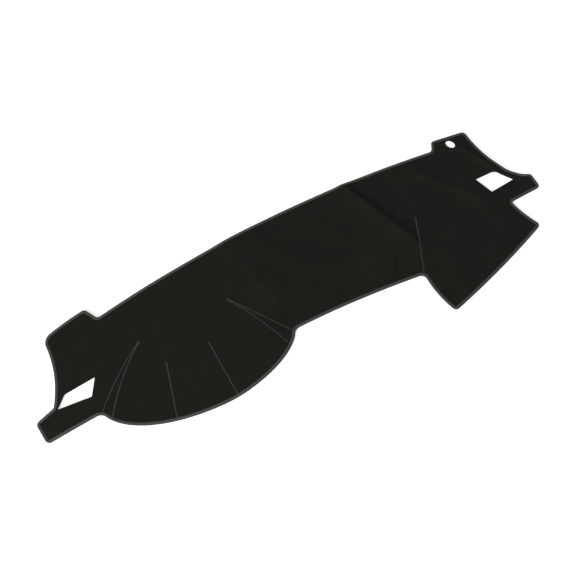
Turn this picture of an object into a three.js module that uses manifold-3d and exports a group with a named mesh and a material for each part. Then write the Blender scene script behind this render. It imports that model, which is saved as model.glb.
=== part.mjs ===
import * as THREE from 'three';
import { mergeVertices } from 'three/addons/utils/BufferGeometryUtils.js';
import Module from 'manifold-3d';

// Dashboard cover mat: one sheet of felt with an overlocked edge, lying as it would rest on a table.
// Millimetres, +X towards the passenger's door, +Y towards the windscreen, +Z up.
// While it is drawn, x = 0 is midway along the dashboard, y = 0 is the straight line under the
// arched windscreen edge, and z = 0 is the felt's underside.

const wasm = await Module();
wasm.setup();

// Felt, overlocked edge and sewn lines
const feltThickness = 4;
const edgingWidth = 8; // how far the thread reaches in from the mat's edge
const edgingThickness = 1; // thread over, under and outside the felt
const edgingRounding = 2; // of the edging's two outer corners
const seamWidth = 4.5;
const seamHeight = 0.8;
const clearance = 0.3; // between two pieces that touch

// Windscreen edge, and the edge between the instrument lobe and the glovebox flap
const archRise = 39;
const centreFrontBow = 12;
const lobeRootX = -84;
const lobeRootForward = 280;
const flapRootX = 279;
const flapRootForward = 312;

// Instrument lobe, over the driver's dials
const lobeBottomX = -300;
const lobeForward = 366;
const lobeRootHandle = [-28, -58];
const lobeBottomHandle = 65;
const lobeBottomHandleOut = 92;
const lobeOuterHandle = [28, -89];

// Glovebox flap, which hangs down at the passenger's side
const flapInnerSlant = 10;
const flapInnerLength = 126;
const flapInnerBow = 13;
const flapOuterSlant = 23;
const flapOuterLength = 96;
const flapOuterBow = 8;
const flapFrontBow = 11;

// The two ends. Insets are measured inwards from the tab's outer corner, and the offsets of the
// vent and of the curve handles are [outwards, towards the windscreen].
const passengerEnd = {
  side: 1,
  reach: 711,
  tabForward: 197,
  tabWidth: 48,
  tabEndLean: 4,
  tabLength: 102,
  tabFrontRise: -1,
  tabFrontBow: 0,
  tabRootRadius: 6,
  pillarInset: 71,
  pillarBack: 13,
  pillarRadius: 14,
  lugWidth: 103,
  lugBow: 0,
  notchTopBack: 30,
  notchWidth: 17,
  notchDepth: 29,
  notchFootRadius: 14,
  sideStart: [-9, -51],
  sideFinish: [-40, 44],
  neckInset: 33,
  neckForward: 174,
  neckBow: -7,
  neckRadius: 14,
  vent: { innerBack: [-40, 109], innerFront: [-26, 54], outerFront: [50, 58], outerBack: [19, 106] },
  ventBackRadius: 22,
};
const driverEnd = {
  side: -1,
  reach: 730,
  tabForward: 188,
  tabWidth: 60,
  tabEndLean: 5,
  tabLength: 144,
  tabFrontRise: 6,
  tabFrontBow: 1,
  tabRootRadius: 18,
  pillarInset: 94,
  pillarBack: 5,
  pillarRadius: 30,
  lugWidth: 122,
  lugBow: 6,
  notchTopBack: 31,
  notchWidth: 19,
  notchDepth: 38,
  notchFootRadius: 8,
  sideStart: [-4, -70],
  sideFinish: [-27, 46],
  neckInset: 51,
  neckForward: 173,
  neckBow: 0,
  neckRadius: 9,
  vent: { innerBack: [-22, 93], innerFront: [4, 51], outerFront: [86, 61], outerBack: [58, 88] },
  ventBackRadius: 3,
};

// Corners of the outline, and the cut corners of the vents
const cornerRadius = edgingWidth + 4;
const notchTopRadius = 12;
const lobeRootRadius = 18;
const flapRootRadius = 14;
const ventCornerRadius = 1.5;

// Oval hole for the sunlight sensor, on the passenger's pillar lug
const sensorWidth = 22;
const sensorLength = 29;
const sensorTurn = THREE.MathUtils.degToRad(17);
const sensorPlace = [-9, -25.5]; // from the middle of the lug's back edge

// Darts: a sewn line runs from its point to its foot on the mat's edge
const dartOnePoint = [-99, 165]; // from the lobe's lowest point
const dartOneFoot = [-140, 20];
const dartTwoPoint = [14, 162];
const dartTwoFoot = [12, 0];
const dartThreePoint = [77, 154]; // from the flap's root

// Gussets: a narrow wedge of felt between two sewn lines that part from one point
const gussetTip = 2;
const driverGussetPoint = [152, 124]; // from the root of the driver's tab
const driverGussetOuterFoot = [-2, -2];
const driverGussetInnerFoot = [18, -22];
const driverGussetOuterBow = 13;
const driverGussetInnerBow = 18;
const centreGussetPoint = [-108, 158]; // from the lobe's root
const centreGussetUpperFoot = [-5, -3];
const centreGussetLowerFoot = [-30, -35];
const centreGussetLowerBow = -13;

// Folds that the mat keeps from being packed, each with a crest from one point to another
const foldFade = 30; // how far a fold runs out past its ends
const foldFloor = 0.15; // lower relief than this lies flat
const innerFold = { from: [243, 16], to: [322, -180], height: 8, driverSlope: 34, passengerSlope: 17 };
const middleFold = { from: [436, -16], to: [526, -180], height: 6, driverSlope: 20, passengerSlope: 26 };
const outerFold = { from: [594, -46], to: [624, -128], height: 6, driverSlope: 14, passengerSlope: 22 };
const lobeFold = { from: [-147, 17], to: [-117, -169], height: 5, driverSlope: 60, passengerSlope: 60 };
const folds = [innerFold, middleFold, outerFold, lobeFold];

// Fineness of the faceted surface
const flatStep = 34;
const foldedStep = 17;
const rowStep = 26;
const outlineStep = 13;
const seamStep = 22;
const arcStep = THREE.MathUtils.degToRad(22);
const ovalPoints = 20;
const cutMargin = 12;

// Outline

const point = (x, y) => new THREE.Vector2(x, y);
const shifted = (from, [dx, dy]) => point(from.x + dx, from.y + dy);
const line = (from, to) => new THREE.LineCurve(from, to);
const cubic = (from, firstHandle, secondHandle, to) => (
  new THREE.CubicBezierCurve(from, firstHandle, secondHandle, to)
);

// A shallow curve between two points that stands off their straight line by half of the bow,
// to the left of its direction.
function bowed(from, to, bow) {
  const along = to.clone().sub(from).normalize();
  const middle = from.clone().add(to).multiplyScalar(0.5);
  return new THREE.QuadraticBezierCurve(from, point(middle.x - along.y * bow, middle.y + along.x * bow), to);
}

// Corners of one end, with the tab, the pillar lug and the notch beside it
function endCorners(end) {
  const at = (inset, y) => point(end.side * (end.reach - inset), y);
  const outwards = ([out, back]) => [end.side * out, back];
  const tabFront = -end.tabForward - end.tabWidth;
  const tabRoot = at(end.tabLength, tabFront + end.tabFrontRise);
  const lugInset = end.pillarInset + end.lugWidth;
  const corners = {
    tabBack: at(0, -end.tabForward),
    tabFront: at(end.tabEndLean, tabFront),
    tabRoot,
    pillar: at(end.pillarInset, end.pillarBack),
    neck: at(end.neckInset, -end.neckForward),
    notchTop: at(lugInset, end.notchTopBack),
    notchFoot: at(lugInset + end.notchWidth, end.notchTopBack - end.notchDepth),
  };
  corners.side = cubic(
    corners.pillar,
    shifted(corners.pillar, outwards(end.sideStart)),
    shifted(corners.neck, outwards(end.sideFinish)),
    corners.neck,
  );
  const ventCorner = (name) => shifted(tabRoot, outwards(end.vent[name]));
  corners.vent = ['innerBack', 'innerFront', 'outerFront', 'outerBack'].map(ventCorner);
  return corners;
}

// Edges of one end, from the notch outwards and round to the tab's root. Each edge is a curve and
// the radius of the corner at its end.
function endEdges(end, corners) {
  return [
    { curve: line(corners.notchFoot, corners.notchTop), radius: notchTopRadius },
    { curve: bowed(corners.notchTop, corners.pillar, end.side * end.lugBow), radius: end.pillarRadius },
    { curve: corners.side, radius: end.neckRadius },
    { curve: bowed(corners.neck, corners.tabBack, end.side * end.neckBow), radius: cornerRadius },
    { curve: line(corners.tabBack, corners.tabFront), radius: cornerRadius },
    { curve: bowed(corners.tabFront, corners.tabRoot, -end.side * end.tabFrontBow), radius: end.tabRootRadius },
  ];
}

function reversedCurve(curve) {
  if (curve.isLineCurve) return line(curve.v2, curve.v1);
  if (curve.isQuadraticBezierCurve) return new THREE.QuadraticBezierCurve(curve.v2, curve.v1, curve.v0);
  return cubic(curve.v3, curve.v2, curve.v1, curve.v0);
}

// The same edges the other way round, where each corner's radius moves to the edge before it
function reversedEdges(edges, lastRadius) {
  const radii = edges.map((edge) => edge.radius);
  return edges.map((edge, i) => ({
    curve: reversedCurve(edge.curve),
    radius: i === 0 ? lastRadius : radii[i - 1],
  })).reverse();
}

// Points of a closed loop of edges, with an arc of the given radius at each corner
function roundedLoop(edges, step) {
  const count = edges.length;
  const turns = edges.map((edge, i) => (
    edge.curve.getTangent(1).angleTo(edges[(i + 1) % count].curve.getTangent(0))
  ));
  const trims = edges.map((edge, i) => edge.radius * Math.tan(turns[i] / 2));
  const loop = [];
  const add = (next) => {
    if (!loop.length || loop.at(-1).distanceTo(next) > clearance) loop.push(next);
  };
  edges.forEach(({ curve }, i) => {
    const length = curve.getLength();
    const start = trims[(i + count - 1) % count] / length;
    const end = 1 - trims[i] / length;
    const pieces = Math.max(1, Math.round((end - start) * length / step));
    for (let j = 0; j <= pieces; j += 1) add(curve.getPointAt(start + (end - start) * j / pieces));
    const next = edges[(i + 1) % count].curve;
    const corner = curve.getPointAt(1);
    const from = curve.getPointAt(end);
    const to = next.getPointAt(trims[i] / next.getLength());
    const pull = (4 / 3) * Math.tan(turns[i] / 4) / Math.tan(turns[i] / 2);
    const arc = cubic(from, from.clone().lerp(corner, pull), to.clone().lerp(corner, pull), to);
    const arcPieces = Math.ceil(turns[i] / arcStep);
    for (let j = 1; j < arcPieces; j += 1) add(arc.getPoint(j / arcPieces));
  });
  return loop;
}

const passenger = endCorners(passengerEnd);
const driver = endCorners(driverEnd);
const lobeRoot = point(lobeRootX, -lobeRootForward);
const lobeBottom = point(lobeBottomX, -lobeForward);
const flapRoot = point(flapRootX, -flapRootForward);
const flapInner = shifted(flapRoot, [flapInnerSlant, -flapInnerLength]);
const flapOuter = shifted(passenger.tabRoot, [flapOuterSlant, -flapOuterLength]);

const outlineEdges = [
  { curve: bowed(driver.notchFoot, passenger.notchFoot, 2 * archRise), radius: passengerEnd.notchFootRadius },
  ...endEdges(passengerEnd, passenger),
  { curve: bowed(passenger.tabRoot, flapOuter, -flapOuterBow), radius: cornerRadius },
  { curve: bowed(flapOuter, flapInner, flapFrontBow), radius: cornerRadius },
  { curve: bowed(flapInner, flapRoot, flapInnerBow), radius: flapRootRadius },
  { curve: bowed(flapRoot, lobeRoot, -centreFrontBow), radius: lobeRootRadius },
  {
    curve: cubic(
      lobeRoot,
      shifted(lobeRoot, lobeRootHandle),
      shifted(lobeBottom, [lobeBottomHandle, 0]),
      lobeBottom,
    ),
    radius: 0,
  },
  {
    curve: cubic(
      lobeBottom,
      shifted(lobeBottom, [-lobeBottomHandleOut, 0]),
      shifted(driver.tabRoot, lobeOuterHandle),
      driver.tabRoot,
    ),
    radius: driverEnd.tabRootRadius,
  },
  ...reversedEdges(endEdges(driverEnd, driver), driverEnd.notchFootRadius),
];
const outline = roundedLoop(outlineEdges, outlineStep);

// Directions into the mat at each point of the outline, lengthened at corners so that an edge moved
// inwards keeps its distance
const inwards = outline.map((at, i) => {
  const before = outline.at(i - 1);
  const after = outline[(i + 1) % outline.length];
  const arriving = at.clone().sub(before).normalize();
  const leaving = after.clone().sub(at).normalize();
  const mean = arriving.clone().add(leaving).normalize();
  return point(mean.y, -mean.x).divideScalar(mean.dot(leaving));
});
const outlineInset = (distance) => outline.map((at, i) => at.clone().addScaledVector(inwards[i], distance));

// Relief of the folds, as flat facets on a grid of columns and rows

function foldHeight(fold, x, y) {
  const from = point(...fold.from);
  const run = point(...fold.to).sub(from);
  const length = run.length();
  const along = run.divideScalar(length);
  const offset = point(x, y).sub(from);
  const forward = offset.dot(along);
  const across = along.x * offset.y - along.y * offset.x;
  const past = Math.max(-forward, forward - length, 0);
  const slope = across < 0 ? fold.driverSlope : fold.passengerSlope;
  return fold.height * Math.exp(-((across / slope) ** 2) - (past / foldFade) ** 2);
}

function reliefAt(x, y) {
  const height = folds.reduce((sum, fold) => sum + foldHeight(fold, x, y), 0);
  return Math.max(0, height - foldFloor);
}

function gridLines(from, to, step) {
  const count = Math.ceil((to - from) / step);
  return Array.from({ length: count + 1 }, (_, i) => from + (to - from) * i / count);
}

const extent = new THREE.Box2().setFromPoints(outline).expandByScalar(cutMargin);
const folded = innerFold.from[0] - 3 * innerFold.driverSlope;
const columns = [
  ...gridLines(extent.min.x, folded, flatStep).slice(0, -1),
  ...gridLines(folded, extent.max.x, foldedStep),
];
const rows = gridLines(extent.min.y, extent.max.y, rowStep);
const heights = columns.map((x) => rows.map((y) => reliefAt(x, y)));
const reliefTop = Math.max(...heights.flat());

// Height of the felt's underside at any place, on the facet that holds it
function underside({ x, y }) {
  const i = Math.max(0, columns.findLastIndex((column, k) => column <= x && k < columns.length - 1));
  const j = Math.max(0, rows.findLastIndex((row, k) => row <= y && k < rows.length - 1));
  const u = (x - columns[i]) / (columns[i + 1] - columns[i]);
  const v = (y - rows[j]) / (rows[j + 1] - rows[j]);
  const right = heights[i + 1][j];
  const back = heights[i][j + 1];
  if (u + v <= 1) {
    const corner = heights[i][j];
    return corner + u * (right - corner) + v * (back - corner);
  }
  const corner = heights[i + 1][j + 1];
  return corner + (1 - u) * (back - corner) + (1 - v) * (right - corner);
}

// Solids

function solid(geometry) {
  const bare = geometry.clone();
  bare.deleteAttribute('normal');
  bare.deleteAttribute('uv');
  const merged = mergeVertices(bare);
  return new wasm.Manifold(new wasm.Mesh({
    numProp: 3,
    vertProperties: new Float32Array(merged.attributes.position.array),
    triVerts: new Uint32Array(merged.index.array),
  }));
}

function indexedGeometry(positions, triangles) {
  const geometry = new THREE.BufferGeometry();
  geometry.setAttribute('position', new THREE.Float32BufferAttribute(positions.flat(), 3));
  geometry.setIndex(triangles.flat());
  return geometry;
}

// A sheet that follows the relief, between two heights over the felt's underside
function sheet(low, high) {
  const positions = [];
  const triangles = [];
  const across = rows.length;
  const layer = columns.length * across;
  for (const offset of [low, high]) {
    columns.forEach((x, i) => rows.forEach((y, j) => positions.push([x, y, heights[i][j] + offset])));
  }
  for (let i = 0; i < columns.length - 1; i += 1) {
    for (let j = 0; j < across - 1; j += 1) {
      const near = i * across + j;
      const right = near + across;
      triangles.push([near + layer, right + layer, near + 1 + layer]);
      triangles.push([right + layer, right + 1 + layer, near + 1 + layer]);
      triangles.push([near, near + 1, right]);
      triangles.push([right, near + 1, right + 1]);
    }
  }
  const rim = [
    ...columns.map((_, i) => i * across),
    ...rows.slice(1).map((_, j) => layer - across + j + 1),
    ...columns.slice(1).map((_, i) => layer - 1 - (i + 1) * across),
    ...rows.slice(1, -1).map((_, j) => across - 2 - j),
  ];
  rim.forEach((at, k) => {
    const next = rim[(k + 1) % rim.length];
    triangles.push([at, next, next + layer], [at, next + layer, at + layer]);
  });
  return solid(indexedGeometry(positions, triangles));
}

// An upright cutter through the whole thickness, whose outline runs clockwise and its holes the other way
function prism(loop, holes = []) {
  const runsClockwise = THREE.ShapeUtils.isClockWise;
  const shape = new THREE.Shape(runsClockwise(loop) ? loop : [...loop].reverse());
  shape.holes = holes.map((hole) => new THREE.Path(runsClockwise(hole) ? [...hole].reverse() : hole));
  const depth = feltThickness + reliefTop + 2 * cutMargin;
  const geometry = new THREE.ExtrudeGeometry(shape, { depth, bevelEnabled: false });
  return solid(geometry.translate(0, 0, -cutMargin));
}

// A section carried along stations, each with a place and a sideways direction. Every corner of the
// section is [distance sideways, height over the felt's underside], clockwise seen along the path.
function swept(stations, section) {
  const size = section.length;
  const positions = stations.flatMap(({ at, sideways }) => section.map(([distance, height]) => {
    const place = at.clone().addScaledVector(sideways, distance);
    return [place.x, place.y, underside(place) + height];
  }));
  const triangles = [];
  for (let i = 0; i < stations.length - 1; i += 1) {
    for (let j = 0; j < size; j += 1) {
      const near = i * size + j;
      const nearNext = i * size + (j + 1) % size;
      const far = near + size;
      const farNext = nearNext + size;
      triangles.push([near, far, nearNext], [nearNext, far, farNext]);
    }
  }
  const end = positions.length - size;
  for (let j = 1; j < size - 1; j += 1) {
    triangles.push([0, j, j + 1], [end, end + j + 1, end + j]);
  }
  return solid(indexedGeometry(positions, triangles));
}

// Sewn lines and gussets

// First place where a line from inside the mat through another point meets the mat's edge
function footOnEdge(from, through) {
  const along = through.clone().sub(from).normalize();
  let nearest = Infinity;
  outline.forEach((a, i) => {
    const b = outline[(i + 1) % outline.length];
    const edge = b.clone().sub(a);
    const toEdge = a.clone().sub(from);
    const slope = along.cross(edge);
    const distance = toEdge.cross(edge) / slope;
    const share = toEdge.cross(along) / slope;
    if (share >= 0 && share <= 1 && distance > 0) nearest = Math.min(nearest, distance);
  });
  return from.clone().addScaledVector(along, nearest);
}

// Stations along a curve, with the direction to its left
function stationsAlong(curve) {
  const pieces = Math.max(2, Math.round(curve.getLength() / seamStep));
  return Array.from({ length: pieces + 1 }, (_, i) => {
    const tangent = curve.getTangentAt(i / pieces);
    return { at: curve.getPointAt(i / pieces), sideways: point(-tangent.y, tangent.x) };
  });
}

// A gusset's two sewn lines, as stations from its blunt point to beyond the mat's edge. The left
// line is the one on the left when looking from the point to the edge.
function gussetLines(tip, leftLine, rightLine) {
  const middle = leftLine.through.clone().add(rightLine.through).multiplyScalar(0.5).sub(tip).normalize();
  const left = point(-middle.y, middle.x).multiplyScalar(gussetTip / 2);
  const lines = [leftLine, rightLine].map(({ through, bow }, i) => {
    const start = tip.clone().addScaledVector(left, i === 0 ? 1 : -1);
    return stationsAlong(bowed(start, footOnEdge(start, through), -bow));
  });
  return { left: lines[0], right: lines[1] };
}

// A wedge between a gusset's two lines that runs on past the mat's edge, widened by the given distance
function wedge({ left, right }, widening) {
  const ahead = ({ sideways }) => point(sideways.y, -sideways.x);
  const edge = (stations, side) => {
    const moved = stations.map(({ at, sideways }) => at.clone().addScaledVector(sideways, side * widening));
    moved[0].addScaledVector(ahead(stations[0]), -widening);
    const beyond = moved.at(-1).clone().addScaledVector(ahead(stations.at(-1)), cutMargin);
    return [...moved, beyond];
  };
  return [...edge(left, 1), ...edge(right, -1).reverse()];
}

const halfSeam = seamWidth / 2;
const seamTop = feltThickness + clearance + seamHeight;
const seamSection = [
  [-halfSeam, feltThickness / 2],
  [-halfSeam, seamTop - seamHeight / 2],
  [-halfSeam / 2, seamTop],
  [halfSeam / 2, seamTop],
  [halfSeam, seamTop - seamHeight / 2],
  [halfSeam, feltThickness / 2],
];

const edgingTop = feltThickness + clearance + edgingThickness;
const edgingBottom = -clearance - edgingThickness;
const roundingCut = edgingRounding * (1 - Math.SQRT1_2);
const edgingSection = [
  [edgingWidth, edgingTop],
  [edgingRounding, edgingTop],
  [roundingCut, edgingTop - roundingCut],
  [0, edgingTop - edgingRounding],
  [0, edgingBottom + edgingRounding],
  [roundingCut, edgingBottom + roundingCut],
  [edgingRounding, edgingBottom],
  [edgingWidth, edgingBottom],
];

const oval = new THREE.EllipseCurve(0, 0, sensorWidth / 2, sensorLength / 2);
oval.aRotation = sensorTurn;
const lugMiddle = passenger.notchTop.clone().add(passenger.pillar).multiplyScalar(0.5);
const sensorHole = oval.getPoints(ovalPoints).slice(0, -1)
  .map((at) => at.add(shifted(lugMiddle, sensorPlace)));

function ventHole(end, corners) {
  const radii = [ventCornerRadius, ventCornerRadius, ventCornerRadius, end.ventBackRadius];
  return roundedLoop(corners.vent.map((from, i) => {
    const after = (i + 1) % corners.vent.length;
    return { curve: line(from, corners.vent[after]), radius: radii[after] };
  }), Infinity);
}

const driverGusset = gussetLines(
  shifted(driver.tabRoot, driverGussetPoint),
  { through: shifted(driver.tabRoot, driverGussetInnerFoot), bow: driverGussetInnerBow },
  { through: shifted(driver.tabRoot, driverGussetOuterFoot), bow: driverGussetOuterBow },
);
const centreGusset = gussetLines(
  shifted(lobeRoot, centreGussetPoint),
  { through: shifted(lobeRoot, centreGussetUpperFoot), bow: 0 },
  { through: shifted(lobeRoot, centreGussetLowerFoot), bow: centreGussetLowerBow },
);

const felt = sheet(0, feltThickness);
const feltAndGap = sheet(-clearance, feltThickness + clearance);
const feltPlan = outlineInset(edgingThickness + clearance);
const insideEdging = prism(outlineInset(edgingWidth + clearance));
const holes = [ventHole(passengerEnd, passenger), ventHole(driverEnd, driver), sensorHole];

function gussetSolid(lines) {
  return felt.intersect(prism(wedge(lines, -clearance / 2))).intersect(prism(feltPlan));
}

function seamSolid(stations) {
  return swept(stations, seamSection).subtract(feltAndGap).intersect(insideEdging);
}

function dartSolid(from, through) {
  return seamSolid(stationsAlong(line(from, footOnEdge(from, through))));
}

function gussetSeamSolid({ left, right }) {
  return seamSolid(left).add(seamSolid(right));
}

const panelSolid = felt
  .intersect(prism(feltPlan, holes))
  .subtract(prism(wedge(driverGusset, clearance / 2)))
  .subtract(prism(wedge(centreGusset, clearance / 2)));
const dartOne = dartSolid(shifted(lobeBottom, dartOnePoint), shifted(lobeBottom, dartOneFoot));
const dartTwo = dartSolid(shifted(lobeBottom, dartTwoPoint), shifted(lobeBottom, dartTwoFoot));
const dartThree = dartSolid(shifted(flapRoot, dartThreePoint), flapRoot);
const edgingStations = outline.map((at, i) => ({ at, sideways: inwards[i] }));
const wrapped = feltAndGap.intersect(prism(outlineInset(edgingThickness)));

// Index of the outline's point nearest to a corner
function nearestStation(corner) {
  const distances = outline.map((at) => at.distanceTo(corner));
  return distances.indexOf(Math.min(...distances));
}

// A run of the overlocked edge between two inner corners, with a gap to the run before it
function edgingRun(from, to) {
  const start = nearestStation(from);
  const count = (nearestStation(to) - start + outline.length) % outline.length;
  const stations = Array.from({ length: count + 1 }, (_, i) => edgingStations[(start + i) % outline.length]);
  const ahead = stations[1].at.clone().sub(stations[0].at).normalize();
  const first = { at: stations[0].at.clone().addScaledVector(ahead, clearance), sideways: stations[0].sideways };
  return swept([first, ...stations.slice(1)], edgingSection).subtract(wrapped);
}

// Scene

const feltMaterial = new THREE.MeshStandardMaterial({ color: 0x191b18, roughness: 0.95, metalness: 0 });
const threadMaterial = new THREE.MeshStandardMaterial({ color: 0x3a3a3a, roughness: 0.8, metalness: 0 });

function node(name, shape, material) {
  const { vertProperties, triVerts } = shape.getMesh();
  const geometry = new THREE.BufferGeometry();
  geometry.setAttribute('position', new THREE.BufferAttribute(vertProperties, 3));
  geometry.setIndex(new THREE.BufferAttribute(triVerts, 1));
  geometry.computeVertexNormals();
  const mesh = new THREE.Mesh(geometry, material);
  mesh.name = name;
  return mesh;
}

const mat = new THREE.Group();
mat.add(
  node('mat_panel', panelSolid, feltMaterial),
  node('driver_gusset', gussetSolid(driverGusset), feltMaterial),
  node('centre_gusset', gussetSolid(centreGusset), feltMaterial),
  node('overlock_back', edgingRun(driver.notchFoot, passenger.notchFoot), threadMaterial),
  node('overlock_passenger', edgingRun(passenger.notchFoot, passenger.tabRoot), threadMaterial),
  node('overlock_flap', edgingRun(passenger.tabRoot, flapRoot), threadMaterial),
  node('overlock_centre', edgingRun(flapRoot, lobeRoot), threadMaterial),
  node('overlock_lobe', edgingRun(lobeRoot, driver.tabRoot), threadMaterial),
  node('overlock_driver', edgingRun(driver.tabRoot, driver.notchFoot), threadMaterial),
  node('driver_gusset_seam', gussetSeamSolid(driverGusset), threadMaterial),
  node('centre_gusset_seam', gussetSeamSolid(centreGusset), threadMaterial),
  node('dart_seam_1', dartOne, threadMaterial),
  node('dart_seam_2', dartTwo, threadMaterial),
  node('dart_seam_3', dartThree, threadMaterial),
);

// The finished mat stands on z = 0 with the middle of its length and depth at the origin
const middle = extent.getCenter(point(0, 0));
mat.position.set(-middle.x, -middle.y, -edgingBottom);
mat.updateMatrixWorld(true);

export default mat;
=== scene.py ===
import math

import bpy
import numpy as np
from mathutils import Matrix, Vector
from mathutils.geometry import delaunay_2d_cdt


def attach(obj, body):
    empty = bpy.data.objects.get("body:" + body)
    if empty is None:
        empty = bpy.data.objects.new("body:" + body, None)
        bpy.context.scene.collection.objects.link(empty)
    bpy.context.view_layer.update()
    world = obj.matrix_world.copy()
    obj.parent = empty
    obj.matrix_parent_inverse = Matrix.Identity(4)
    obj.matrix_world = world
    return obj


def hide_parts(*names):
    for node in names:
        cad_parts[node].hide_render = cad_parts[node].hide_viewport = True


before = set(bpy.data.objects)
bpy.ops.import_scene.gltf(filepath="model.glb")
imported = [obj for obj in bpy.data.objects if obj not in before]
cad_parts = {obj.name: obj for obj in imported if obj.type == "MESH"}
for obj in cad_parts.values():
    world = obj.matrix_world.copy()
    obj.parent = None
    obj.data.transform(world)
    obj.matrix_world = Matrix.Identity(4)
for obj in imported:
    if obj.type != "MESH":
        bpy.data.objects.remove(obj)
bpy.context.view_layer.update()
mm = 0.001

# Camera, found from the photograph's outline
view = {"focal": 50, "elevation": math.radians(62), "distance": 2.0293, "turn": 0.52429,
        "lookAt": (-0.0329, 0.0289, 0.004)}
lookAt = Vector(view["lookAt"])
viewAhead = Vector((math.sin(view["turn"]), math.cos(view["turn"]), 0))
viewSide = Vector((math.cos(view["turn"]), -math.sin(view["turn"]), 0))
eye = lookAt - viewAhead * math.cos(view["elevation"]) * view["distance"]
eye.z += math.sin(view["elevation"]) * view["distance"]
camera = bpy.data.objects.new("camera", bpy.data.cameras.new("camera"))
bpy.context.scene.collection.objects.link(camera)
camera.data.lens = view["focal"]
camera.data.sensor_width = 36
camera.location = eye
camera.rotation_euler = (lookAt - eye).to_track_quat("-Z", "Y").to_euler()
bpy.context.scene.camera = camera
print("camera placed")

# Plan of the mat, in millimetres: x = 0 midway along the dashboard, y = 0 under the arched back edge
plan = {
    "archRise": 39, "centreFrontBow": 12,
    "lobeRoot": (-84, -280), "lobeBottom": (-300, -366), "flapRoot": (279, -312),
    "lobeRootHandle": (-28, -58), "lobeBottomHandle": 65, "lobeBottomHandleOut": 92,
    "lobeOuterHandle": (28, -89),
    "flapInner": (10, -126), "flapInnerBow": 13,
    "flapOuter": (23, -96), "flapOuterBow": 8, "flapFrontBow": 11,
    "cornerRadius": 12, "notchTopRadius": 12, "lobeRootRadius": 18, "flapRootRadius": 14,
    "ventCornerRadius": 1.5,
    "sensorSize": (22, 29), "sensorTurn": math.radians(17), "sensorPlace": (-9, -25.5),
    "drawnStep": 1.0, "step": 1.2, "ventStep": 1.5,     # between points of the outline and of the vents
}
passengerEnd = {
    "side": 1, "reach": 711, "tabForward": 197, "tabWidth": 48, "tabEndLean": 4, "tabLength": 102,
    "tabFrontRise": -1, "tabFrontBow": 0, "tabRootRadius": 6,
    "pillarInset": 71, "pillarBack": 13, "pillarRadius": 14, "lugWidth": 103, "lugBow": 0,
    "notchTopBack": 30, "notchWidth": 17, "notchDepth": 29, "notchFootRadius": 14,
    "sideStart": (-9, -51), "sideFinish": (-40, 44),
    "neckInset": 33, "neckForward": 174, "neckBow": -7, "neckRadius": 14,
    "vent": ((-40, 109), (-26, 54), (50, 58), (19, 106)), "ventBackRadius": 22,
}
driverEnd = {
    "side": -1, "reach": 730, "tabForward": 188, "tabWidth": 60, "tabEndLean": 5, "tabLength": 144,
    "tabFrontRise": 6, "tabFrontBow": 1, "tabRootRadius": 18,
    "pillarInset": 94, "pillarBack": 5, "pillarRadius": 30, "lugWidth": 122, "lugBow": 6,
    "notchTopBack": 31, "notchWidth": 19, "notchDepth": 38, "notchFootRadius": 8,
    "sideStart": (-4, -70), "sideFinish": (-27, 46),
    "neckInset": 51, "neckForward": 173, "neckBow": 0, "neckRadius": 9,
    "vent": ((-22, 93), (4, 51), (86, 61), (58, 88)), "ventBackRadius": 3,
}


# Outline

def curvePoints(control, t):  # Bezier curve: means of neighbouring points, taken until one is left
    layers = [np.asarray(p, float)[None, :] for p in control]
    t = np.asarray(t)[:, None]
    while len(layers) > 1:
        layers = [(1 - t) * a + t * b for a, b in zip(layers, layers[1:])]
    return layers[0]


def bowed(start, end, bow):  # a shallow curve that stands off its chord by half of the bow, to its left
    start, end = np.array(start, float), np.array(end, float)
    along = (end - start) / np.linalg.norm(end - start)
    return [start, (start + end) / 2 + bow * np.array([-along[1], along[0]]), end]


def endCorners(end):  # corners of one end, from its named insets, and its side curve and vent
    def at(inset, y):
        return np.array([end["side"] * (end["reach"] - inset), y], float)

    def outwards(offset):
        return np.array([end["side"] * offset[0], offset[1]], float)

    tabFront = -end["tabForward"] - end["tabWidth"]
    lug = end["pillarInset"] + end["lugWidth"]
    c = {
        "tabBack": at(0, -end["tabForward"]),
        "tabFront": at(end["tabEndLean"], tabFront),
        "tabRoot": at(end["tabLength"], tabFront + end["tabFrontRise"]),
        "pillar": at(end["pillarInset"], end["pillarBack"]),
        "neck": at(end["neckInset"], -end["neckForward"]),
        "notchTop": at(lug, end["notchTopBack"]),
        "notchFoot": at(lug + end["notchWidth"], end["notchTopBack"] - end["notchDepth"]),
    }
    c["side"] = [c["pillar"], c["pillar"] + outwards(end["sideStart"]),
                 c["neck"] + outwards(end["sideFinish"]), c["neck"]]
    c["vent"] = [c["tabRoot"] + outwards(corner) for corner in end["vent"]]
    return c


def endEdges(end, c):  # edges of one end and the radius of the corner after each, from the notch outwards
    return [
        ([c["notchFoot"], c["notchTop"]], plan["notchTopRadius"]),
        (bowed(c["notchTop"], c["pillar"], end["side"] * end["lugBow"]), end["pillarRadius"]),
        (c["side"], end["neckRadius"]),
        (bowed(c["neck"], c["tabBack"], end["side"] * end["neckBow"]), plan["cornerRadius"]),
        ([c["tabBack"], c["tabFront"]], plan["cornerRadius"]),
        (bowed(c["tabFront"], c["tabRoot"], -end["side"] * end["tabFrontBow"]), end["tabRootRadius"]),
    ]


def unit(v):
    return v / np.linalg.norm(v, axis=-1, keepdims=True)


def resampled(points, step, closed=False):  # the same line with evenly spaced points
    if closed:
        points = np.vstack([points, points[:1]])
    lengths = np.linalg.norm(np.diff(points, axis=0), axis=1)
    run = np.concatenate([[0], np.cumsum(lengths)])
    count = max(1, int(round(run[-1] / step)))
    at = np.linspace(0, run[-1], count + 1)
    at = at[:-1] if closed else at
    return np.stack([np.interp(at, run, points[:, k]) for k in range(2)], 1)


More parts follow.
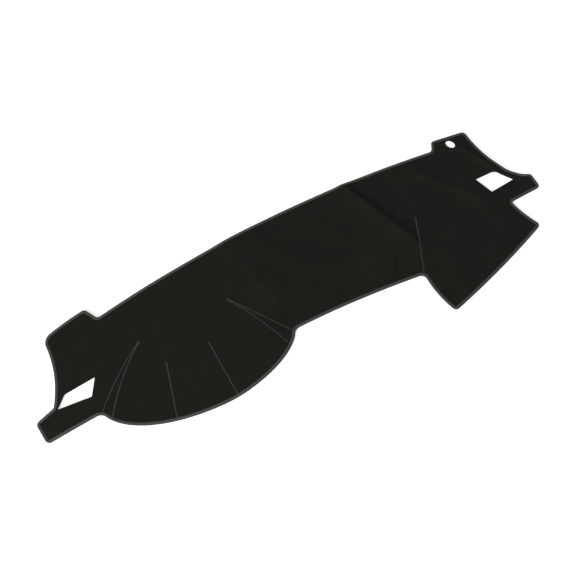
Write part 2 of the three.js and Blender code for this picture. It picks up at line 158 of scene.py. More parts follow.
def roundedLoop(edges, step):  # closed loop: edges are trimmed at their ends and joined by arcs
    dense = [curvePoints(control, np.linspace(0, 1, 300)) for control, _ in edges]
    runs = [np.concatenate([[0], np.cumsum(np.linalg.norm(np.diff(d, axis=0), axis=1))]) for d in dense]

    def place(i, distance):
        return np.array([np.interp(distance, runs[i], dense[i][:, k]) for k in range(2)])

    arriving = [unit(d[-1] - d[-2]) for d in dense]
    leaving = [unit(d[1] - d[0]) for d in dense]
    count = len(edges)
    turns = [math.acos(np.clip(arriving[i] @ leaving[(i + 1) % count], -1, 1)) for i in range(count)]
    trims = [edges[i][1] * math.tan(turns[i] / 2) for i in range(count)]
    loop = []
    for i in range(count):
        after = (i + 1) % count
        inside = np.linspace(trims[i - 1], runs[i][-1] - trims[i], max(2, int(runs[i][-1] / step)))
        loop.append(np.stack([np.interp(inside, runs[i], dense[i][:, k]) for k in range(2)], 1))
        if trims[i] > 0.05:
            start, corner, end = loop[-1][-1], dense[i][-1], place(after, trims[i])
            pull = 4 / 3 * math.tan(turns[i] / 4) / math.tan(turns[i] / 2)
            arc = [start, start + pull * (corner - start), end + pull * (corner - end), end]
            loop.append(curvePoints(arc, np.linspace(0, 1, 3 + int(trims[i] / step)))[1:-1])
    points = np.vstack(loop)
    keep = np.linalg.norm(points - np.roll(points, 1, 0), axis=1) > 1e-3
    return points[keep]


passenger = endCorners(passengerEnd)
driver = endCorners(driverEnd)
lobeRoot, lobeBottom, flapRoot = (np.array(plan[k], float) for k in ("lobeRoot", "lobeBottom", "flapRoot"))
flapInner = flapRoot + plan["flapInner"]
flapOuter = passenger["tabRoot"] + plan["flapOuter"]
driverEdges = endEdges(driverEnd, driver)
driverRadii = [driverEnd["notchFootRadius"]] + [radius for _, radius in driverEdges[:-1]]
outlineEdges = [
    (bowed(driver["notchFoot"], passenger["notchFoot"], 2 * plan["archRise"]),
     passengerEnd["notchFootRadius"]),
    *endEdges(passengerEnd, passenger),
    (bowed(passenger["tabRoot"], flapOuter, -plan["flapOuterBow"]), plan["cornerRadius"]),
    (bowed(flapOuter, flapInner, plan["flapFrontBow"]), plan["cornerRadius"]),
    (bowed(flapInner, flapRoot, plan["flapInnerBow"]), plan["flapRootRadius"]),
    (bowed(flapRoot, lobeRoot, -plan["centreFrontBow"]), plan["lobeRootRadius"]),
    ([lobeRoot, lobeRoot + plan["lobeRootHandle"],
      lobeBottom + (plan["lobeBottomHandle"], 0), lobeBottom], 0),
    ([lobeBottom, lobeBottom - (plan["lobeBottomHandleOut"], 0),
      driver["tabRoot"] + plan["lobeOuterHandle"], driver["tabRoot"]], driverEnd["tabRootRadius"]),
    *[(control[::-1], radius) for (control, _), radius in zip(driverEdges[::-1], driverRadii[::-1])],
]
outline = resampled(roundedLoop(outlineEdges, plan["drawnStep"]), plan["step"], closed=True)
shift = -(outline.min(0) + outline.max(0)) / 2
outline = outline + shift


def leftOf(points, closed):  # direction to the left of a line of points
    if closed:
        along = np.roll(points, -1, 0) - np.roll(points, 1, 0)
    else:
        along = np.gradient(points, axis=0)
    along = unit(along)
    return np.stack([-along[:, 1], along[:, 0]], 1)


def smoothedAround(values, width):  # running mean round a closed loop
    kernel = np.ones(width) / width
    padded = np.concatenate([values[-width:], values, values[:width]])
    return np.stack([np.convolve(column, kernel, "same")[width:-width] for column in padded.T], 1)


inwards = unit(smoothedAround(-leftOf(outline, True), 5))

# Holes
oval = np.linspace(0, 2 * math.pi, 73)[:-1]
lugMiddle = (passenger["notchTop"] + passenger["pillar"]) / 2
ovalX, ovalY = (plan["sensorSize"][0] / 2 * np.cos(oval), plan["sensorSize"][1] / 2 * np.sin(oval))
turnCos, turnSin = math.cos(plan["sensorTurn"]), math.sin(plan["sensorTurn"])
sensorHole = np.stack([ovalX * turnCos - ovalY * turnSin, ovalX * turnSin + ovalY * turnCos], 1)
sensorHole = sensorHole + lugMiddle + plan["sensorPlace"] + shift


def ventHole(end, c):
    radii = [plan["ventCornerRadius"]] * 3 + [end["ventBackRadius"]]
    edges = [([c["vent"][i], c["vent"][(i + 1) % 4]], radii[(i + 1) % 4]) for i in range(4)]
    return roundedLoop(edges, plan["ventStep"]) + shift


vents = [ventHole(passengerEnd, passenger), ventHole(driverEnd, driver)]
print("outline", len(outline), "points, size", np.ptp(outline, axis=0).round(1))


# Sewn lines, in millimetres from the named corner of the plan

dartLines = {  # corner, point and a place that its foot runs towards
    "dart_seam_1": ("lobeBottom", (-99, 165), (-140, 20)),
    "dart_seam_2": ("lobeBottom", (14, 162), (12, 0)),
    "dart_seam_3": ("flapRoot", (77, 154), (0, 0)),
}
gussetPlan = {
    "driver_gusset": {"root": driver["tabRoot"], "point": (152, 124),
                      "leftFoot": (18, -22), "rightFoot": (-2, -2), "bows": (18, 13)},
    "centre_gusset": {"root": lobeRoot, "point": (-108, 158),
                      "leftFoot": (-5, -3), "rightFoot": (-30, -35), "bows": (0, -13)},
}
gussetTip = 2


def footOnEdge(start, through):  # first crossing of the ray with the outline
    along = unit(np.array(through, float) - start)
    a, edge = outline, np.roll(outline, -1, 0) - outline
    toEdge = a - start
    slope = along[0] * edge[:, 1] - along[1] * edge[:, 0]
    distance = (toEdge[:, 0] * edge[:, 1] - toEdge[:, 1] * edge[:, 0]) / slope
    share = (toEdge[:, 0] * along[1] - toEdge[:, 1] * along[0]) / slope
    hit = (share >= 0) & (share <= 1) & (distance > 0)
    return start + along * distance[hit].min()


def gussetLines(tip, leftThrough, rightThrough, bows):  # two curves that part from a blunt point
    middle = unit((leftThrough + rightThrough) / 2 - tip)
    left = np.array([-middle[1], middle[0]]) * gussetTip / 2
    lines = []
    for through, side, bow in ((leftThrough, 1, bows[0]), (rightThrough, -1, bows[1])):
        start = tip + side * left
        control = bowed(start, footOnEdge(start, through), -bow)
        lines.append(resampled(curvePoints(control, np.linspace(0, 1, 200)), 2))
    return lines


gussets = {}
for name, wedgePlan in gussetPlan.items():
    root = wedgePlan["root"] + shift
    gussets[name] = gussetLines(root + wedgePlan["point"], root + wedgePlan["leftFoot"],
                                root + wedgePlan["rightFoot"], wedgePlan["bows"])
darts = {}
for name, (anchor, point, foot) in dartLines.items():
    base = np.array(plan[anchor], float) + shift
    start = base + point
    darts[name] = resampled(np.array([start, footOnEdge(start, base + foot)]), 2)
sewnLines = [line for pair in gussets.values() for line in pair] + list(darts.values())
print("sewn lines", len(sewnLines))


def distanceTo(points, line, closed=False):  # shortest distance from each point to a line, in chunks
    a = line if closed else line[:-1]
    b = np.roll(line, -1, 0) if closed else line[1:]
    edge = b - a
    squared = (edge ** 2).sum(1)
    nearest = np.empty(len(points))
    for first in range(0, len(points), 2000):
        offset = points[first:first + 2000, None, :] - a[None]
        share = np.clip((offset * edge[None]).sum(2) / squared, 0, 1)
        gap = offset - share[..., None] * edge[None]
        nearest[first:first + 2000] = np.sqrt((gap ** 2).sum(2).min(1))
    return nearest


# Relief of the felt's underside, in millimetres

folds = [  # slopes are at the start and at the end of the crest
    {"from": (245, 3), "to": (312, -218), "height": 13.5, "crest": 3,
     "driverSlope": (26, 46), "passengerSlope": (16, 28)},
    {"from": (438, -32), "to": (540, -196), "height": 5, "crest": 4,
     "driverSlope": (12, 20), "passengerSlope": (15, 26)},
    {"from": (602, -50), "to": (632, -128), "height": 6.5, "crest": 3,
     "driverSlope": (10, 10), "passengerSlope": (26, 26)},
    {"from": (-117, 17), "to": (-87, -169), "height": 6, "crest": 14,
     "driverSlope": (26, 26), "passengerSlope": (90, 90)},
    {"from": (170, -190), "to": (215, -250), "height": 3, "crest": 16,
     "driverSlope": (24, 24), "passengerSlope": (24, 24)},
]
foldFade = 25
waves = [  # of the loosely lying felt: length, direction in degrees, height
    (310, 12, 0.35), (223, 71, 0.25), (171, 128, 0.2), (119, 38, 0.12),
]
pucker = {
    "ditch": 0.45, "ditchWidth": 3.2, "height": 0.22, "length": 11.5, "reach": 7,
    "wander": 0.13, "wanderLength": 17,                 # makes their spacing uneven
}


# Each fold has a crest with a rounded top and a slope on either side that dies away exponentially, and it
# fades past its ends. Low waves of several lengths and directions are added.
def relief(points):
    height = np.zeros(len(points))
    for fold in folds:
        start = np.array(fold["from"], float) + shift
        run = np.array(fold["to"], float) + shift - start
        length = np.linalg.norm(run)
        along = run / length
        offset = points - start
        forward = offset @ along
        across = along[0] * offset[:, 1] - along[1] * offset[:, 0]
        past = np.maximum(np.maximum(-forward, forward - length), 0)
        share = np.clip(forward / length, 0, 1) ** 2
        driverSlope, passengerSlope = ((1 - share) * a + share * b for a, b in
                                       (fold["driverSlope"], fold["passengerSlope"]))
        slope = np.where(across < 0, driverSlope, passengerSlope)
        rounded = np.hypot(across, fold["crest"]) - fold["crest"]
        height += fold["height"] * np.exp(-rounded / slope - (past / foldFade) ** 2)
    for length, turn, size in waves:
        turn = math.radians(turn)
        phase = (points[:, 0] * math.cos(turn) + points[:, 1] * math.sin(turn)) / length
        height += size * (1 + np.sin(2 * math.pi * phase + turn * 5))
    return height


def sewnRelief(points):  # each sewn line draws the felt into a narrow ditch, with low puckers beside it
    height = np.zeros(len(points))
    for line in sewnLines:
        run = np.linalg.norm(line[-1] - line[0])
        forward = (points - line[0]) @ (line[-1] - line[0]) / run
        away = distanceTo(points, line)
        height -= pucker["ditch"] * np.exp(-(away / pucker["ditchWidth"]) ** 2)
        wander = pucker["wander"] * np.sin(forward / pucker["wanderLength"])
        ripple = np.sin(2 * math.pi * (forward / pucker["length"] + wander))
        height += pucker["height"] * ripple * np.exp(-(away / pucker["reach"]) ** 2)
    return height


# Meshes

def inside(points, loop):  # even number of crossings to the right means outside
    a, b = loop, np.roll(loop, -1, 0)
    result = np.zeros(len(points), bool)
    for first in range(0, len(points), 4000):
        p = points[first:first + 4000, None, :]
        spans = (a[None, :, 1] > p[..., 1]) != (b[None, :, 1] > p[..., 1])
        with np.errstate(divide="ignore", invalid="ignore"):
            x = a[:, 0] + (p[..., 1] - a[:, 1]) * (b[:, 0] - a[:, 0]) / (b[:, 1] - a[:, 1])
        result[first:first + 4000] = (spans & (p[..., 0] < x)).sum(1) % 2 == 1
    return result


def makeObject(name, vertices, faces, material, uv=None):
    mesh = bpy.data.meshes.new(name)
    mesh.from_pydata((vertices * mm).tolist(), [], faces)
    mesh.polygons.foreach_set("use_smooth", np.ones(len(mesh.polygons), bool))
    if uv is not None:
        layer = mesh.uv_layers.new(name="along")
        corner = np.empty(len(mesh.loops), np.int32)
        mesh.loops.foreach_get("vertex_index", corner)
        layer.data.foreach_set("uv", uv[corner].astype(np.float32).ravel())
    mesh.update()
    obj = bpy.data.objects.new(name, mesh)
    bpy.context.scene.collection.objects.link(obj)
    mesh.materials.append(material)
    return obj


felt = {
    "thickness": 4, "inset": 1.15,
    "slotGap": 0.3,         # between a gusset and the slot that it is sewn into
    "slotRunOut": 12,       # past the mat's edge
    "rounding": 1.3,        # of its cut edges
    "pitch": 5.5, "rowPitch": 0.866,                    # of its triangles, and of their rows as a share of it
    "seamPitch": 2.2, "seamRows": (-4, -3, -2, -1.4, 1.4, 2, 3, 4),  # of points beside each sewn line
    "rimRows": (0.2, 0.6, 1.3, 2.6), "rimGap": 0.12,    # of points inside each cut edge
}
standHeight = 1.3           # of its underside, because the overlocked edge reaches lower


# The felt between an outer loop and its holes and slots: a flat mesh of triangles, lifted to the felt's two
# faces by relief, its cut edges turned over by a quarter circle, and closed by a wall
def feltSheet(name, loop, holes, slots, material):
    low, high = loop.min(0), loop.max(0)
    pitch = felt["pitch"]
    gridX, gridY = np.meshgrid(np.arange(low[0], high[0], pitch),
                               np.arange(low[1], high[1], pitch * felt["rowPitch"]))
    gridX = gridX + (np.arange(gridX.shape[0]) % 2)[:, None] * pitch / 2
    cloud = [np.stack([gridX.ravel(), gridY.ravel()], 1)]
    for line in sewnLines:
        side = leftOf(line, False)
        cloud += [line + side * offset * felt["seamPitch"] for offset in felt["seamRows"]]
    rings = [loop] + holes + slots
    outwards = [-1] + [1] * len(holes) + [1] * len(slots)
    for ring, way in zip(rings, outwards):
        area = 0.5 * np.sum(ring[:, 0] * np.roll(ring[:, 1], -1) - np.roll(ring[:, 0], -1) * ring[:, 1])
        left = leftOf(ring, True) * (-1 if area > 0 else 1) * way
        cloud += [ring + left * distance for distance in felt["rimRows"]]
    points = np.vstack(cloud)
    away = np.minimum.reduce([distanceTo(points, ring, True) for ring in rings])
    keep = inside(points, loop) & (away > felt["rimGap"])
    for ring in holes + slots:
        keep &= ~inside(points, ring)
    points = points[keep]
    constraints = []
    count = 0
    for ring in rings:
        index = np.arange(len(ring)) + count
        constraints += np.stack([index, np.roll(index, -1)], 1).tolist()
        count += len(ring)
    corners = [Vector(v) for v in np.vstack(rings + [points]).tolist()]
    flat, _, triangles, _, _, _ = delaunay_2d_cdt(corners, constraints, [], 1, 1e-4)
    flat = np.array([(v.x, v.y) for v in flat])
    triangles = np.array(triangles)
    middle = flat[triangles].mean(1)
    keep = inside(middle, loop)
    for ring in holes + slots:
        keep &= ~inside(middle, ring)
    triangles = triangles[keep]
    a, b, c = (flat[triangles[:, k]] for k in range(3))
    turn = (b[:, 0] - a[:, 0]) * (c[:, 1] - a[:, 1]) - (b[:, 1] - a[:, 1]) * (c[:, 0] - a[:, 0])
    triangles = triangles[np.abs(turn) > 1e-6]
    turn = turn[np.abs(turn) > 1e-6]
    triangles[turn < 0] = triangles[turn < 0][:, ::-1]
    used, compact = np.unique(triangles, return_inverse=True)  # points that no triangle uses are left out
    flat, triangles = flat[used], compact.reshape(-1, 3)
    pairs = np.vstack([triangles[:, [0, 1]], triangles[:, [1, 2]], triangles[:, [2, 0]]])
    key = pairs.min(1).astype(np.int64) * len(flat) + pairs.max(1)
    _, first, times = np.unique(key, return_index=True, return_counts=True)
    rim = pairs[first[times == 1]]  # sides that only one triangle has
    away = np.minimum.reduce([distanceTo(flat, ring, True) for ring in rings])
    away[np.unique(rim)] = 0
    rounding = felt["rounding"]
    drop = rounding - np.sqrt(np.maximum(rounding ** 2 - np.maximum(rounding - away, 0) ** 2, 0))
    base = relief(flat) + standHeight
    top = np.column_stack([flat, base + felt["thickness"] - drop + sewnRelief(flat)])
    under = np.column_stack([flat, base + drop])
    size = len(flat)
    wall = np.column_stack([rim[:, 1], rim[:, 0], rim[:, 0] + size, rim[:, 1] + size])
    faces = triangles.tolist() + (triangles[:, ::-1] + size).tolist() + wall.tolist()
    obj = makeObject(name, np.vstack([top, under]), faces, material)
    print(name, len(triangles) * 2 + len(wall) * 2, "triangles")
    return obj


# Materials

def newMaterial(name):
    material = bpy.data.materials.new(name)
    material.use_nodes = True
    nodes, links = material.node_tree.nodes, material.node_tree.links
    return material, nodes, links, nodes["Principled BSDF"]


def linear(value):  # a screen value of 0 to 255 as linear light
    value = value / 255
    return value / 12.92 if value <= 0.04045 else ((value + 0.055) / 1.055) ** 2.4


feltLook = {
    "colour": (23, 24, 20), "roughness": 0.95, "specular": 0.03,
    "sheen": 0.02, "sheenRoughness": 0.5,
    "fibreScale": 1100, "fibreDepth": 0.00018, "patchScale": 16,
}
threadLook = {
    "colour": (51, 52, 52), "roughness": 0.55, "specular": 0.35,
    "sheen": 0.03, "sheenRoughness": 0.5,
    "plyLength": 0.0011, "plySlant": 0.9, "plyDepth": 0.00012,
    "paintedOuterShade": 0.4, "paintedShadeFrom": 0.006, "paintedShadeTo": 0.0085,   # painted shade: darker from the top's outer corner down the outer wall, which lies in shade
}


def addNode(nodes, kind, **values):  # node with its settings and the values of its sockets
    node = nodes.new(kind)
    for key, value in values.items():
        if hasattr(node, key):
            setattr(node, key, value)
        else:
            node.inputs[key.replace("_", " ")].default_value = value
    return node


# Tangled fibres: noise folded at its middle gives fine crossing lines, and wider noise gives patches in
# which the pile leans another way. Puts out a shade for the colour and a height for the bump.
def fibreGroup():
    group = bpy.data.node_groups.new("fibres", "ShaderNodeTree")
    for name, kind, way in (
            ("Vector", "NodeSocketVector", "INPUT"), ("Scale", "NodeSocketFloat", "INPUT"),
            ("Patch Scale", "NodeSocketFloat", "INPUT"), ("Shade", "NodeSocketFloat", "OUTPUT"),
            ("Height", "NodeSocketFloat", "OUTPUT")):
        group.interface.new_socket(name=name, in_out=way, socket_type=kind)
    nodes, links = group.nodes, group.links
    source = nodes.new("NodeGroupInput")
    sink = nodes.new("NodeGroupOutput")
    ridges = []
    for stretch in ((1, 0.35, 1), (0.4, 1, 1)):
        mapping = addNode(nodes, "ShaderNodeMapping", Scale=stretch)
        links.new(source.outputs["Vector"], mapping.inputs["Vector"])
        noise = addNode(nodes, "ShaderNodeTexNoise", Detail=3.0, Roughness=0.6, Distortion=1.4)
        links.new(mapping.outputs[0], noise.inputs["Vector"])
        links.new(source.outputs["Scale"], noise.inputs["Scale"])
        centred = addNode(nodes, "ShaderNodeMath", operation="SUBTRACT")
        centred.inputs[1].default_value = 0.5
        links.new(noise.outputs["Fac"], centred.inputs[0])
        folded = addNode(nodes, "ShaderNodeMath", operation="ABSOLUTE")
        links.new(centred.outputs[0], folded.inputs[0])
        ridge = addNode(nodes, "ShaderNodeMapRange", From_Min=0.0, From_Max=0.14, To_Min=1.0, To_Max=0.0)
        links.new(folded.outputs[0], ridge.inputs["Value"])
        ridges.append(ridge)
    both = addNode(nodes, "ShaderNodeMath", operation="ADD")
    links.new(ridges[0].outputs[0], both.inputs[0])
    links.new(ridges[1].outputs[0], both.inputs[1])
    patches = addNode(nodes, "ShaderNodeTexNoise", Detail=4.0, Roughness=0.55, Distortion=0.6)
    links.new(source.outputs["Vector"], patches.inputs["Vector"])
    links.new(source.outputs["Patch Scale"], patches.inputs["Scale"])
    patchShade = addNode(nodes, "ShaderNodeMapRange", From_Min=0.35, From_Max=0.65, To_Min=0.93, To_Max=1.07)
    links.new(patches.outputs["Fac"], patchShade.inputs["Value"])
    fibreShade = addNode(nodes, "ShaderNodeMapRange", From_Min=0.0, From_Max=2.0, To_Min=0.72, To_Max=1.5)
    links.new(both.outputs[0], fibreShade.inputs["Value"])
    shade = addNode(nodes, "ShaderNodeMath", operation="MULTIPLY")
    links.new(patchShade.outputs[0], shade.inputs[0])
    links.new(fibreShade.outputs[0], shade.inputs[1])
    links.new(shade.outputs[0], sink.inputs["Shade"])
    links.new(both.outputs[0], sink.inputs["Height"])
    return group


def setShader(shader, look):  # constants, and the colour as linear light
    shader.inputs["Base Color"].default_value = [linear(v) for v in look["colour"]] + [1]
    shader.inputs["Roughness"].default_value = look["roughness"]
    shader.inputs["Specular IOR Level"].default_value = look["specular"]
    shader.inputs["Sheen Weight"].default_value = look["sheen"]
    shader.inputs["Sheen Roughness"].default_value = look["sheenRoughness"]


fibres = fibreGroup()


def shaded(nodes, links, shader, look, shade, height, depth):  # colour times shade, and a bump
    tint = addNode(nodes, "ShaderNodeVectorMath", operation="SCALE")
    tint.inputs[0].default_value = [linear(v) for v in look["colour"]]
    links.new(shade, tint.inputs["Scale"])
    links.new(tint.outputs[0], shader.inputs["Base Color"])
    bump = addNode(nodes, "ShaderNodeBump", Distance=depth, Strength=0.8)
    links.new(height, bump.inputs["Height"])
    links.new(bump.outputs[0], shader.inputs["Normal"])


def makeFelt():
    material, nodes, links, shader = newMaterial("felt")
    setShader(shader, feltLook)
    place = nodes.new("ShaderNodeTexCoord")
    pile = nodes.new("ShaderNodeGroup")
    pile.node_tree = fibres
    pile.inputs["Scale"].default_value = feltLook["fibreScale"]
    pile.inputs["Patch Scale"].default_value = feltLook["patchScale"]
    links.new(place.outputs["Object"], pile.inputs["Vector"])
    shade, height = pile.outputs["Shade"], pile.outputs["Height"]
    shaded(nodes, links, shader, feltLook, shade, height, feltLook["fibreDepth"])
    return material


# Twisted plies: a wave of the distance along the thread plus a slant times the distance around it. Painted
# shade darkens the overlock down its outer side, which lies in shade.
def makeThread():
    material, nodes, links, shader = newMaterial("thread")
    setShader(shader, threadLook)
    uv = addNode(nodes, "ShaderNodeUVMap", uv_map="along")
    split = nodes.new("ShaderNodeSeparateXYZ")
    links.new(uv.outputs[0], split.inputs[0])
    slanted = addNode(nodes, "ShaderNodeMath", operation="MULTIPLY_ADD")
    slanted.inputs[1].default_value = threadLook["plySlant"]
    links.new(split.outputs["Y"], slanted.inputs[0])
    links.new(split.outputs["X"], slanted.inputs[2])
    turns = addNode(nodes, "ShaderNodeMath", operation="MULTIPLY")
    turns.inputs[1].default_value = 2 * math.pi / threadLook["plyLength"]
    links.new(slanted.outputs[0], turns.inputs[0])
    wave = addNode(nodes, "ShaderNodeMath", operation="SINE")
    links.new(turns.outputs[0], wave.inputs[0])
    shade = addNode(nodes, "ShaderNodeMapRange", From_Min=-1.0, From_Max=1.0, To_Min=0.8, To_Max=1.2)
    links.new(wave.outputs[0], shade.inputs["Value"])
    # painted shade: the thread's colour darkens down the overlock's outer wall, where shade falls
    outer = addNode(nodes, "ShaderNodeMapRange", To_Min=1.0, To_Max=threadLook["paintedOuterShade"],
                    From_Min=threadLook["paintedShadeFrom"], From_Max=threadLook["paintedShadeTo"])
    links.new(split.outputs["Y"], outer.inputs["Value"])
    both = addNode(nodes, "ShaderNodeMath", operation="MULTIPLY")
    links.new(shade.outputs[0], both.inputs[0])
    links.new(outer.outputs[0], both.inputs[1])
    shaded(nodes, links, shader, threadLook, both.outputs[0], wave.outputs[0], threadLook["plyDepth"])
    return material


feltMaterial = makeFelt()
threadMaterial = makeThread()
print("materials felt and thread")

# Felt pieces
feltLoop = outline + inwards * felt["inset"]


def wedge(lines, widening):  # outline of a gusset, moved outwards on all sides and run on past the mat's edge
    left, right = lines
    sides = []
    for line, way in ((left, 1), (right, -1)):
        side = leftOf(line, False)
        ahead = np.stack([side[:, 1], -side[:, 0]], 1)
        moved = line + way * widening * side
        moved[0] -= ahead[0] * widening
        sides.append(np.vstack([moved, moved[-1] + ahead[-1] * felt["slotRunOut"]]))
    return np.vstack([sides[0], sides[1][::-1]])


slots = [wedge(lines, felt["slotGap"] / 2) for lines in gussets.values()]
panel = feltSheet("feltPanel", feltLoop, vents + [sensorHole], slots, feltMaterial)
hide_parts("mat_panel")
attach(panel, "root")


def clippedWedge(lines):  # the gusset's outline, ended along the felt's edge
    left, right = lines
    shapes = wedge(lines, -felt["slotGap"] / 2)
    keep = inside(shapes, feltLoop)
    kept = shapes[keep]
    ends = feltLoop[inside(feltLoop, shapes)]
    half = int(np.argmax(np.linalg.norm(np.diff(kept, axis=0), axis=1))) + 1
    if np.linalg.norm(ends[0] - kept[half - 1]) > np.linalg.norm(ends[-1] - kept[half - 1]):
        ends = ends[::-1]
    return np.vstack([kept[:half], ends, kept[half:]])


for name, lines in gussets.items():
    piece = feltSheet(name + "_felt", clippedWedge(lines), [], [], feltMaterial)
    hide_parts(name)
    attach(piece, "root")


# Overlocked edge

edging = {
    "width": 8,
    "stitch": 2.4, "samples": 4, "ribHeight": 0.32, "slant": 0.5,
    "ribPower": 0.8,        # under 1 makes a rib blunter and its groove narrower
    "ribMiddle": (3.2, 2),  # of the section, from which the ribs stand out
    "crown": 1.15,          # of its rounded top over the felt
    "topRadius": 2.3, "footRadius": 3.8,
    "smoothing": 11,        # points of the outline over which its direction inwards is averaged
}


def ringFaces(count, size):  # quads of a closed ring of closed sections
    i, j = np.meshgrid(np.arange(count), np.arange(size), indexing="ij")
    near, nearNext = i * size + j, i * size + (j + 1) % size
    far, farNext = (i + 1) % count * size + j, (i + 1) % count * size + (j + 1) % size
    return np.stack([near, far, farNext, nearNext], -1).reshape(-1, 4).tolist()


# Thread wrapped round the felt's edge: a rounded section carried along the outline, its surface raised into
# slanted ribs, one to a stitch. The section is [distance in from the edge, height over the felt's underside].
def overlockRing():
    around = np.linalg.norm(np.diff(outline, axis=0, append=outline[:1]), axis=1).sum()
    count = int(round(around / edging["stitch"])) * edging["samples"]
    path = resampled(outline, around / count, True)
    count = len(path)
    normal = unit(smoothedAround(-leftOf(path, True), edging["smoothing"]))
    top, bottom = felt["thickness"], -standHeight
    crown, width = top + edging["crown"], edging["width"]
    r, foot = edging["topRadius"], edging["footRadius"]
    turn = np.radians([0, 30, 60, 90])
    upper = [(width, top - 0.3), (width - 0.2, top + 0.35), (width - 0.9, top + 0.75),
             (width - 1.9, crown - 0.12), (r + 0.8, crown)]
    outer = [(r - r * math.sin(a), crown - r + r * math.cos(a)) for a in turn]
    under = [(foot - foot * math.cos(a), bottom + foot - foot * math.sin(a)) for a in turn]
    section = np.array(upper + outer + under + [(width - 0.3, bottom), (width - 0.3, bottom + 1), (1.6, 1.5)])
    size = len(section)
    out = unit(section - np.array(edging["ribMiddle"]))
    run = np.concatenate([[0], np.cumsum(np.linalg.norm(np.diff(section, axis=0), axis=1))])
    stitchAt = np.arange(count)[:, None] / edging["samples"]
    wave = np.abs(np.cos(math.pi * (stitchAt + edging["slant"] * run[None] / edging["stitch"])))
    shown = np.array([0.2, 0.7] + [1] * 10 + [0.5, 0.2, 0, 0])  # share of the ribs at each section point
    rib = edging["ribHeight"] * (wave ** edging["ribPower"] - 1) * shown[None]
    moved = section[None] + out[None] * rib[..., None]
    moved[..., 1] = np.maximum(moved[..., 1], bottom)
    place = path[:, None] + normal[:, None] * moved[..., :1]
    base = relief(place.reshape(-1, 2)).reshape(count, size) + standHeight
    vertices = np.concatenate([place, (base + moved[..., 1])[..., None]], -1).reshape(-1, 3)
    uv = np.stack(np.broadcast_arrays(stitchAt * edging["stitch"] * mm, run[None] * mm), -1).reshape(-1, 2)
    obj = makeObject("overlockEdge", vertices, ringFaces(count, size), threadMaterial, uv)
    print("overlockEdge", count * size * 2, "triangles")
    return obj


edge = overlockRing()
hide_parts("overlock_back", "overlock_passenger", "overlock_flap",
            "overlock_centre", "overlock_lobe", "overlock_driver")
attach(edge, "root")


# Sewing thread
seam = {
    "width": 3.1, "pointWidth": 1.8, "pointFade": 26,   # wider by this at its point, and over what length
    "stitch": 1.25, "radius": 0.42, "samples": 6, "sides": 6,
    "rise": 0.9,            # of its middle over the felt, as a share of its radius
    "sink": 0.6,            # into the ditch, as a share of its depth
    "dip": 0.6, "dipPower": 6,                          # down into the felt at the ends of a stitch
    "endUnder": 0.5,        # of its end under the overlocked edge
}


# Round thread sewn to and fro across each line: a circle carried along a path that swings from side to side,
# wider at the line's point, and dips into the felt at both ends of every stitch
def zigzagThread(name, lines, node):
    vertices, faces, uvs = [], [], []
    first = 0
    for line in lines:
        length = np.linalg.norm(np.diff(line, axis=0), axis=1).sum() - edging["width"] + seam["endUnder"]
        run = np.concatenate([[0], np.cumsum(np.linalg.norm(np.diff(line, axis=0), axis=1))])
        stitches = int(length / seam["stitch"])
        steps = np.arange(stitches * seam["samples"] + 1) / seam["samples"]
        at = steps * seam["stitch"]
        phase = steps % 2
        swing = np.where(phase < 1, phase, 2 - phase) * 2 - 1
        sideways = leftOf(line, False)
        centre = np.stack([np.interp(at, run, line[:, k]) for k in range(2)], 1)
        side = unit(np.stack([np.interp(at, run, sideways[:, k]) for k in range(2)], 1))
        width = seam["width"] + seam["pointWidth"] * np.exp(-at / seam["pointFade"])
        path = centre + side * (swing * width / 2)[:, None]
        lift = seam["radius"] * seam["rise"] - pucker["ditch"] * seam["sink"]
        lift = lift - seam["dip"] * np.abs(swing) ** seam["dipPower"]
        height = relief(path) + standHeight + felt["thickness"] + lift
        spine = np.column_stack([path, height])
        forward = unit(np.gradient(spine, axis=0))
        level = unit(np.column_stack([-forward[:, 1], forward[:, 0], np.zeros(len(spine))]))
        upright = np.cross(forward, level)
        angle = np.linspace(0, 2 * math.pi, seam["sides"], endpoint=False)
        ring = level[:, None] * np.cos(angle)[None, :, None]
        ring = ring + upright[:, None] * np.sin(angle)[None, :, None]
        tube = spine[:, None] + ring * seam["radius"]
        sides, count = seam["sides"], len(spine)
        vertices.append(tube.reshape(-1, 3))
        i, j = np.meshgrid(np.arange(count - 1), np.arange(sides), indexing="ij")
        quads = np.stack([i * sides + j, i * sides + (j + 1) % sides,
                          (i + 1) * sides + (j + 1) % sides, (i + 1) * sides + j], -1).reshape(-1, 4) + first
        faces += quads.tolist()
        last = first + (count - 1) * sides
        faces.append(list(range(first + sides - 1, first - 1, -1)))
        faces.append(list(range(last, last + sides)))
        turn = angle / (2 * math.pi)
        uvs.append(np.stack(np.broadcast_arrays(at[:, None] * mm, turn[None] * mm), -1).reshape(-1, 2))
        first += count * sides
    obj = makeObject(name, np.vstack(vertices), faces, threadMaterial, np.vstack(uvs))
    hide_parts(node)
    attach(obj, "root")
    return obj


threads = [zigzagThread(name + "_thread", [line], name) for name, line in darts.items()]
threads += [zigzagThread(name + "_thread", lines, name + "_seam") for name, lines in gussets.items()]
print("sewing threads", len(threads))


# Floor and light

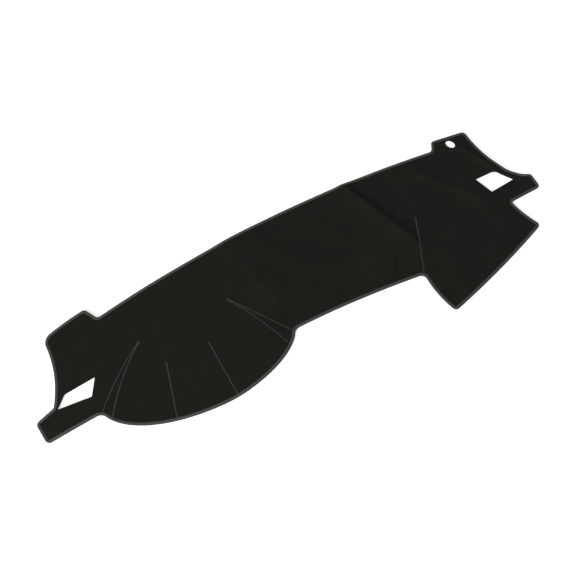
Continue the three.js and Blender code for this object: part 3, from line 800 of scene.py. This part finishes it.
floorLook = {"albedo": 0.55, "cameraGlow": 0.62, "size": 12}  # the camera alone sees the glow, as white
lights = {  # places are [to the right, ahead] as the camera sees them
    "world": 0.33,
    "lowBox": {"towards": (-0.62, -0.785), "elevation": 30, "distance": 5, "size": 1.5, "power": 345},
    "highBox": {"over": (0.35, 0.3), "height": 1.3, "size": 0.8, "power": 4.5},
}
floorMaterial, nodes, links, shader = newMaterial("floor")
shader.inputs["Base Color"].default_value = [floorLook["albedo"]] * 3 + [1]
shader.inputs["Roughness"].default_value = 1
lightPath = nodes.new("ShaderNodeLightPath")
glow = nodes.new("ShaderNodeEmission")
glow.inputs["Color"].default_value = (1, 1, 1, 1)
gain = addNode(nodes, "ShaderNodeMath", operation="MULTIPLY")
gain.inputs[1].default_value = floorLook["cameraGlow"]
links.new(lightPath.outputs["Is Camera Ray"], gain.inputs[0])
links.new(gain.outputs[0], glow.inputs["Strength"])
both = nodes.new("ShaderNodeAddShader")
links.new(shader.outputs[0], both.inputs[0])
links.new(glow.outputs[0], both.inputs[1])
links.new(both.outputs[0], nodes["Material Output"].inputs["Surface"])
bpy.ops.mesh.primitive_plane_add(size=floorLook["size"])
floor = bpy.context.active_object
floor.name = "floor"
floor.data.materials.append(floorMaterial)

world = bpy.data.worlds.new("studio")
bpy.context.scene.world = world
world.use_nodes = True
background = world.node_tree.nodes["Background"]
background.inputs["Color"].default_value = (1, 1, 1, 1)
background.inputs["Strength"].default_value = lights["world"]


def softbox(name, place, target, size, power):
    data = bpy.data.lights.new(name, "AREA")
    data.size = size
    data.energy = power
    lamp = bpy.data.objects.new(name, data)
    bpy.context.scene.collection.objects.link(lamp)
    lamp.location = place
    lamp.rotation_euler = (target - place).to_track_quat("-Z", "Y").to_euler()


lowBox, highBox = lights["lowBox"], lights["highBox"]
lowWay = viewSide * lowBox["towards"][0] + viewAhead * lowBox["towards"][1]
lowWay = lowWay * math.cos(math.radians(lowBox["elevation"]))
lowWay.z = math.sin(math.radians(lowBox["elevation"]))
softbox("lowBox", lookAt + lowWay * lowBox["distance"], lookAt, lowBox["size"], lowBox["power"])
farCorner = lookAt + viewSide * highBox["over"][0] + viewAhead * highBox["over"][1]
highPlace = farCorner + Vector((0, 0, highBox["height"]))
softbox("highBox", highPlace, farCorner, highBox["size"], highBox["power"])
print("floor and light placed")

bpy.context.scene.view_settings.view_transform = "Standard"
